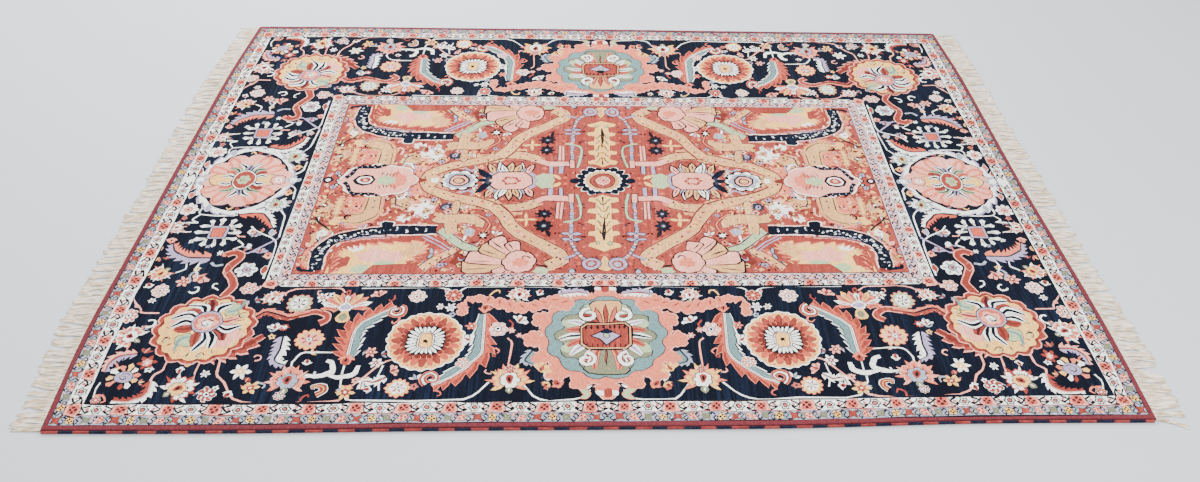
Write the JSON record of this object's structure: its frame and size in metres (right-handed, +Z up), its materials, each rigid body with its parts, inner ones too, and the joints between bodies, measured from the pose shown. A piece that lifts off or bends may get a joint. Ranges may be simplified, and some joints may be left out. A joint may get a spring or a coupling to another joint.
{
  "type": "persian rug",
  "caption": "Hand-knotted wool rug lying flat, navy border round a rose field, with corded sides and a fringe at both ends",
  "frame": {"origin": "the middle of the rug's bounding box, on the floor", "axes": "+X along the rug from the left fringe to the right fringe, +Y across it to the back, +Z up"},
  "size_m": [3.533, 2.4256, 0.0119],
  "materials": {
    "pile_wool": "hand-knotted wool pile",
    "cord_wool": "overcast wool yarn",
    "fringe_cotton": "undyed cotton warp ends"
  },
  "bodies": {
    "root": {"pile": "pile_wool", "side_cord_front": "cord_wool", "side_cord_back": "cord_wool", "fringe_left": "fringe_cotton", "fringe_right": "fringe_cotton"}
  },
  "joints": []
}
